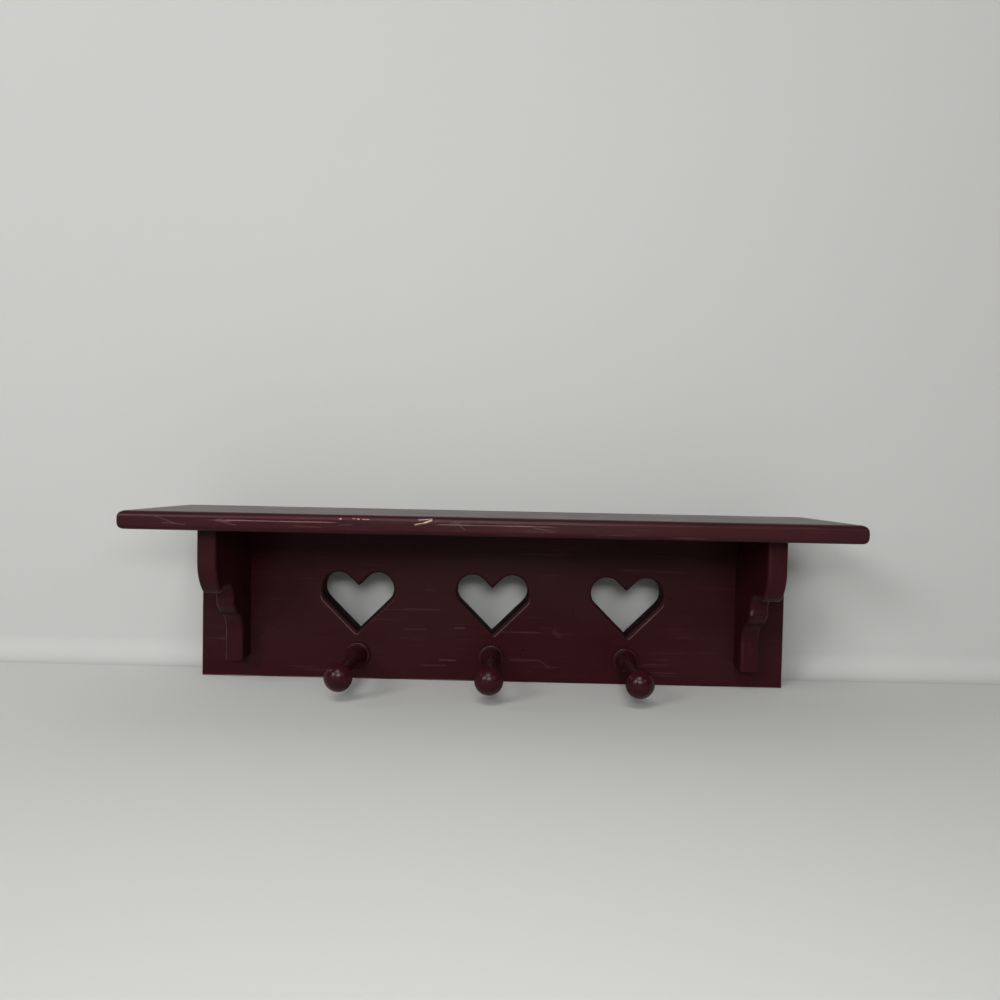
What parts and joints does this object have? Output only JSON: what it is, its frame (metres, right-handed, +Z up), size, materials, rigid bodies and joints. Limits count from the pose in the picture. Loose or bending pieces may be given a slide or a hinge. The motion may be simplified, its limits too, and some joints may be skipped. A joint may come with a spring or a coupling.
{
  "type": "peg shelf",
  "caption": "Wall shelf on scroll-cut brackets, over a back board with heart cut-outs and turned hanging pegs, in dark red painted wood.",
  "frame": {"origin": "on the wall face, at the middle of the length and at the height of the wall screws; the shelf's top is 45 mm above it", "axes": "+X to the right along the shelf, +Y into the wall, +Z up; the pegs point along -Y"},
  "size_m": [0.6096, 0.127, 0.164],
  "materials": {
    "painted_shelf": "dark burgundy satin paint",
    "painted_back": "dark burgundy satin paint",
    "painted_bracket": "dark burgundy satin paint",
    "painted_peg": "dark burgundy satin paint",
    "brad_steel": "bright steel wire"
  },
  "bodies": {
    "root": {"shelf_board": "painted_shelf", "back_board": "painted_back", "bracket_left": "painted_bracket", "bracket_right": "painted_bracket", "pegs": "painted_peg", "shelf_brads": "brad_steel", "back_brads": "brad_steel"}
  },
  "joints": []
}
